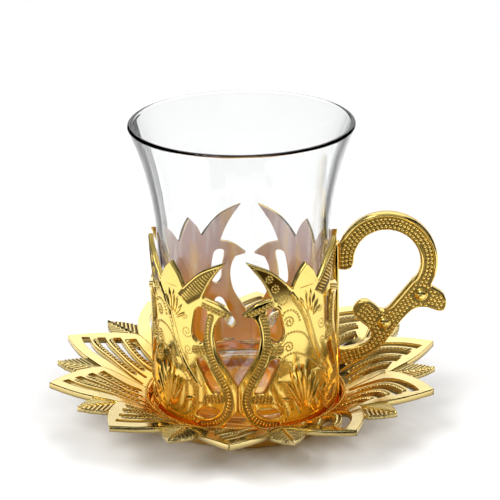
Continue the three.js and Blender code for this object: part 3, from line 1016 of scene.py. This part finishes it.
def slot_line(index):
    """Centre line of one of a petal's slots: a curve with one bend point."""
    start = turned([(SLOT_START, 0)], 16 - 9 * index)[0]
    middle = np.array([47.2 - 3.9 * index, 8.7 - 4.3 * index])
    end = np.array([54.0 - 4.1 * index, -2.0 - 2.6 * index])
    t = np.linspace(0, 1, 41)[:, None]
    return (1 - t) ** 2 * start + 2 * t * (1 - t) * middle + t**2 * end


def slot_hole(index):
    """A slot that widens outwards, with round ends."""
    line = slot_line(index)
    half = (SLOT_TAIL + (SLOT_WIDTH - SLOT_TAIL) * np.minimum(2 * np.linspace(0, 1, 41), 1)) / 2
    return closed_loop(offset(line, half[:, None]), offset(line, -half[:, None])[::-1])


def build_saucer():
    """Ten petals with slots and ropes, ten veined leaves, and the well with its beads."""
    casting = settings()[0]
    spacing = casting.spacing / MM
    region = Region(petal_outline(), [slot_hole(i) for i in range(SLOTS)], spacing)
    trim = Ornament()
    middles = []
    for i in range(SLOTS - 1):
        middle = slot_line(i) * (1 - ROPE_SHARE) + slot_line(i + 1) * ROPE_SHARE
        places, angles = even(middle[6:37], casting.rope_pitch / MM)
        trim.add(places, 0.9, 0.43, angles + math.radians(55), 0.45)
        middles.append(middle[5:38])

    # The ropes' bed: sunk, dull and darkened with painted shade
    def rope_bed(points):
        return 0.65 * np.max([on_line(points, middle, 0.75, 0.95) for middle in middles], axis=0)

    # The petals are dull and darkened with painted shade in the ropes' bed and on their undersides
    plate = sheet(
        region, SAUCER_WALL, lambda p: -0.3 * rope_bed(p), edge=0.22, dull_and_shade=rope_bed, under=0.75)
    petal = merged(plate, trim.mesh(lambda p: np.full(len(p), SAUCER_WALL - 0.15)))
    for i in range(PETALS):
        shape = bent(petal, on_dish(SAUCER_WALL, 0, -90 + 360 / PETALS * i))
        make_gilt(f"saucer_petal_{i + 1:02d}", shape, "saucer")
    side = run([40, -3.5], [46, -5.6], [50.5, -4.9], [54.2, -2.6], [LEAF_RADIUS, 0])
    leaf = Region(closed_loop(side, (side * [1, -1])[::-1]), [], spacing)

    def veins(points):
        x, y = points[:, 0], np.abs(points[:, 1])
        groove = ridge((x - 1.1 * y) % 1.8 - 0.9, 0.36)
        groove *= smooth_step(y, 0.45, 0.8) * smooth_step(5.4 - y, 0, 0.6)
        return 0.35 * ridge(y, 0.35) - 0.45 * groove

    # The leaves are dull and darkened with painted shade in the vein grooves and on their undersides
    flat_leaf = sheet(
        leaf, LEAF_WALL, veins, edge=0.2, under=0.75, dull_and_shade=lambda p: np.maximum(-1.7 * veins(p), 0))
    leaves = [
        bent(flat_leaf, on_dish(LEAF_WALL, LEAF_DROP, -90 + 360 / PETALS * (i + 0.5))) for i in range(PETALS)]
    make_gilt("saucer_leaves", merged(*leaves), "saucer")
    lip = dish_height(WELL_RADIUS)
    profile = run(
        [0, 0], [FOOT_RADIUS - 0.4, 0], [FOOT_RADIUS, 0.35],
        [FOOT_TOP_RADIUS, dish_height(FOOT_TOP_RADIUS) - SAUCER_WALL / 2],
        [WELL_RADIUS + 0.6, lip - SAUCER_WALL / 4], [WELL_RADIUS + 0.1, lip - 0.2],
        [WELL_RADIUS, lip - 0.5], [WELL_RADIUS, WELL_FLOOR + 0.4], [WELL_RADIUS - 0.4, WELL_FLOOR],
        [0, WELL_FLOOR])
    beads = Ornament().beads(arc((0, 0), WELL_BEADS_RADIUS, 0, 360, 180)[:-1], 1.15, 0.45)
    ring = beads.mesh(lambda p: dish_height(np.hypot(*p.T)))
    make_gilt("saucer_well", merged(lathe(profile, TURNED_SIDES["well"]), ring), "saucer")


# Glass

def build_glass():
    """The flared glass: a turned wall of even thickness on a thick base, with a fire-polished lip."""
    mouth = GLASS_HEIGHT - 0.6
    outside = spline(run(
        [24.6, 3.5], [24.9, 15.3], [25.3, 35.3], [25.5, 51.3], [26.5, 60.3], [28.1, 68.3], [30.2, 75.8],
        [GLASS_RIM, mouth]), 90)
    inner_wall = (outside - [GLASS_WALL, 0])[18:][::-1]
    lip = arc((GLASS_RIM - GLASS_WALL / 2, mouth), GLASS_WALL / 2, 0, 180, 10)[1:-1]
    heel = spline(run([0, 0.8], [10, 0.7], [16, 0.5], [18.5, 0.05], [21, 0], [23.3, 0.8], [24.6, 3.5]), 40)
    floor = spline(run([23.3, GLASS_BASE + 4.5], [22.2, GLASS_BASE + 1.8], [20, GLASS_BASE + 0.5],
                       [12, GLASS_BASE + 0.1], [0, GLASS_BASE]), 30)
    profile = np.concatenate([heel, outside[1:], lip, inner_wall, floor])
    turned_glass = lathe(profile + [0, GLASS_FOOT], TURNED_SIDES["glass"])
    body = make_piece("glass_body", turned_glass, pressed_glass(), "glass", crease=80)
    body.visible_shadow = False


# Stage

def make_sky(strength):
    """A sky that is dark near the horizon and brighter overhead, and plain white where the camera sees it."""
    world = bpy.data.worlds.new("sky")
    world.use_nodes = True
    tree = world.node_tree
    tree.nodes.clear()
    direction = add_node(tree, "TexCoord").outputs["Generated"]
    height = add_node(tree, "SeparateXYZ", None, {"Vector": direction}).outputs["Z"]
    rise = add_node(
        tree, "MapRange", {"From Min": 0.25, "From Max": 1.0, "To Min": 0.05, "To Max": strength},
        {"Value": height})
    light = add_node(
        tree, "Background", {"Color": (1, 1, 1, 1)}, {"Strength": rise})
    plain = add_node(tree, "Background", {"Color": (1, 1, 1, 1)})
    seen = add_node(tree, "LightPath").outputs["Is Camera Ray"]
    both = add_node(
        tree, "MixShader", None,
        {0: seen, 1: light, 2: plain})
    add_node(tree, "OutputWorld", None, {"Surface": both})
    bpy.context.scene.world = world


LIGHTS = {  # place, size and share of the key light's power
    "key": ((-0.8, -0.6, 1.0), 0.9, 1.1),
    "side": ((1.0, -0.5, 0.9), 0.7, 0.85),
    "back": ((0.1, 1.3, 1.0), 1.2, 0.34),
}
SKIM = 0.001  # height of the cards that lie on the floor
CARDS = {  # corners, and what sees the card: reflections, the clear glass, or both
    "left": ([(-0.32, -0.6, 0), (-0.32, 0.6, 0), (-0.32, 0.6, 0.6), (-0.32, -0.6, 0.6)], "both"),
    "right": ([(0.32, -0.6, 0), (0.32, 0.6, 0), (0.32, 0.6, 0.6), (0.32, -0.6, 0.6)], "both"),
    "far": ([(-0.6, 0.7, 0), (0.6, 0.7, 0), (0.6, 0.7, 0.22), (-0.6, 0.7, 0.22)], "glossy"),
    "front": (
        [(-0.035, -0.3, SKIM), (0.085, -0.3, SKIM), (0.085, -0.1, SKIM), (-0.035, -0.1, SKIM)], "glossy"),
    "near": ([(-0.05, -0.1, SKIM), (0.06, -0.1, SKIM), (0.06, -0.07, SKIM), (-0.05, -0.07, SKIM)], "glossy"),
    "behind_left": ([(-0.12, 0.09, 0), (-0.05, 0.09, 0), (-0.048, 0.09, 0.1), (-0.12, 0.09, 0.1)], "clear"),
    "behind_right": ([(0.05, 0.09, 0), (0.12, 0.09, 0), (0.12, 0.09, 0.1), (0.048, 0.09, 0.1)], "clear"),
}


def flat_card(name, corners, material):
    """A flat card with four corners."""
    mesh = bpy.data.meshes.new(name)
    mesh.from_pydata(corners, [], [(0, 1, 2, 3)])
    mesh.materials.append(material)
    return in_scene(name, mesh)


def hang_cards():
    """The dark and white cards, which neither the camera nor the matt floor sees."""
    tones = {}
    for tone, glow in (("black", 0.0), ("white", 0.95)):
        tones[tone], tree = new_material(f"{tone}_card")
        emission = add_node(tree, "Emission", {"Strength": glow})
        add_node(tree, "OutputMaterial", None, {"Surface": emission})
    for name, (corners, seen) in CARDS.items():
        card = flat_card(f"card_{name}", corners, tones["white" if name == "far" else "black"])
        card.visible_camera = card.visible_diffuse = card.visible_shadow = False
        card.visible_glossy = seen != "clear"
        card.visible_transmission = seen != "glossy"
        card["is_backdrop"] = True


def place_camera():
    """The camera at the photograph's viewpoint: turned, raised and tilted round the point it looks at."""
    a, e, r = (math.radians(x) for x in (VIEW_AZIMUTH, VIEW_ELEVATION, VIEW_ROLL))
    back = np.array([math.sin(a) * math.cos(e), -math.cos(a) * math.cos(e), math.sin(e)])
    right = np.array([math.cos(a), math.sin(a), 0])
    up = np.cross(back, right)
    pose = np.eye(4)
    across, upward = math.cos(r) * right + math.sin(r) * up, math.cos(r) * up - math.sin(r) * right
    pose[:3, :3] = np.stack([across, upward, back], 1)
    pose[:3, 3] = np.array(VIEW_AIM) + back * VIEW_DISTANCE
    camera = in_scene("camera", bpy.data.cameras.new("camera"))
    camera.data.lens = VIEW_LENS
    camera.matrix_world = Matrix(pose)
    bpy.context.scene.camera = camera


def build_stage():
    """A pale floor, the sky, three large soft lights, the cards and the camera."""
    stage = settings()[2]
    # Matt white paper: pale, with no shine
    paper, tree = new_material("matt_paper")
    shader = add_node(tree, "BsdfPrincipled", {"Base Color": linear(stage.floor), "Roughness": 0.9})
    add_node(tree, "OutputMaterial", None, {"Surface": shader})
    floor = flat_card("floor", [(-6, -6, 0), (6, -6, 0), (6, 6, 0), (-6, 6, 0)], paper)
    floor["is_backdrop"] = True
    make_sky(stage.world)
    for name, (place, size, share) in LIGHTS.items():
        light = bpy.data.lights.new(name, "AREA")
        light.size = size
        light.energy = stage.key * share
        turn = (Vector(place) - Vector(VIEW_AIM)).to_track_quat("Z", "Y")
        in_scene(name, light).matrix_world = Matrix.Translation(place) @ turn.to_matrix().to_4x4()
    hang_cards()
    place_camera()
    scene = bpy.context.scene
    scene.view_settings.view_transform = "Standard"
    scene.cycles.max_bounces = scene.cycles.transmission_bounces = 24
    scene.cycles.glossy_bounces = 10


# Operators and panel

class TEAGLASS_OT_stage(bpy.types.Operator):
    """Make the floor, the light and the camera"""
    bl_idname = "tea_glass.stage"
    bl_label = "Stage"

    def execute(self, context):
        build_stage()
        return {"FINISHED"}


class TEAGLASS_OT_glass(bpy.types.Operator):
    """Make the flared glass"""
    bl_idname = "tea_glass.glass"
    bl_label = "Glass"

    def execute(self, context):
        build_glass()
        return {"FINISHED"}


class TEAGLASS_OT_holder(bpy.types.Operator):
    """Make the pierced holder"""
    bl_idname = "tea_glass.holder"
    bl_label = "Holder"

    def execute(self, context):
        build_holder()
        return {"FINISHED"}


class TEAGLASS_OT_handle(bpy.types.Operator):
    """Make the beaded scroll handle"""
    bl_idname = "tea_glass.handle"
    bl_label = "Handle"

    def execute(self, context):
        build_handle()
        return {"FINISHED"}


class TEAGLASS_OT_saucer(bpy.types.Operator):
    """Make the petalled saucer"""
    bl_idname = "tea_glass.saucer"
    bl_label = "Saucer"

    def execute(self, context):
        build_saucer()
        return {"FINISHED"}


STEPS = (TEAGLASS_OT_stage, TEAGLASS_OT_saucer, TEAGLASS_OT_holder, TEAGLASS_OT_handle, TEAGLASS_OT_glass)


class TEAGLASS_PT_panel(bpy.types.Panel):
    """Lists the steps and the settings"""
    bl_idname = "TEAGLASS_PT_panel"
    bl_label = "Tea Glass"
    bl_space_type = "VIEW_3D"
    bl_region_type = "UI"
    bl_category = "Tea Glass"

    def draw(self, context):
        for step in STEPS:
            self.layout.operator(step.bl_idname)
        for group in settings():
            for name in group.__annotations__:
                self.layout.prop(group, name)


GROUPS = {
    "tea_glass_casting": CastingSettings, "tea_glass_glass": GlassSettings, "tea_glass_stage": StageSettings}


def register():
    """Registers the classes and hangs the settings on the scene."""
    for name, group in GROUPS.items():
        bpy.utils.register_class(group)
        setattr(bpy.types.Scene, name, PointerProperty(type=group))
    for item in (*STEPS, TEAGLASS_PT_panel):
        bpy.utils.register_class(item)


def unregister():
    """Undoes register."""
    for item in (*STEPS, TEAGLASS_PT_panel):
        bpy.utils.unregister_class(item)
    for name, group in GROUPS.items():
        delattr(bpy.types.Scene, name)
        bpy.utils.unregister_class(group)


def main():
    """Makes the stage and every piece."""
    register()
    bpy.ops.tea_glass.stage()
    bpy.ops.tea_glass.saucer()
    bpy.ops.tea_glass.holder()
    bpy.ops.tea_glass.handle()
    bpy.ops.tea_glass.glass()
    boxes = {"cad": CAD_BOX, "visual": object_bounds()}
    {name: [list(corner) for corner in box] for name, box in boxes.items()}


if __name__ == "__main__":
    main()
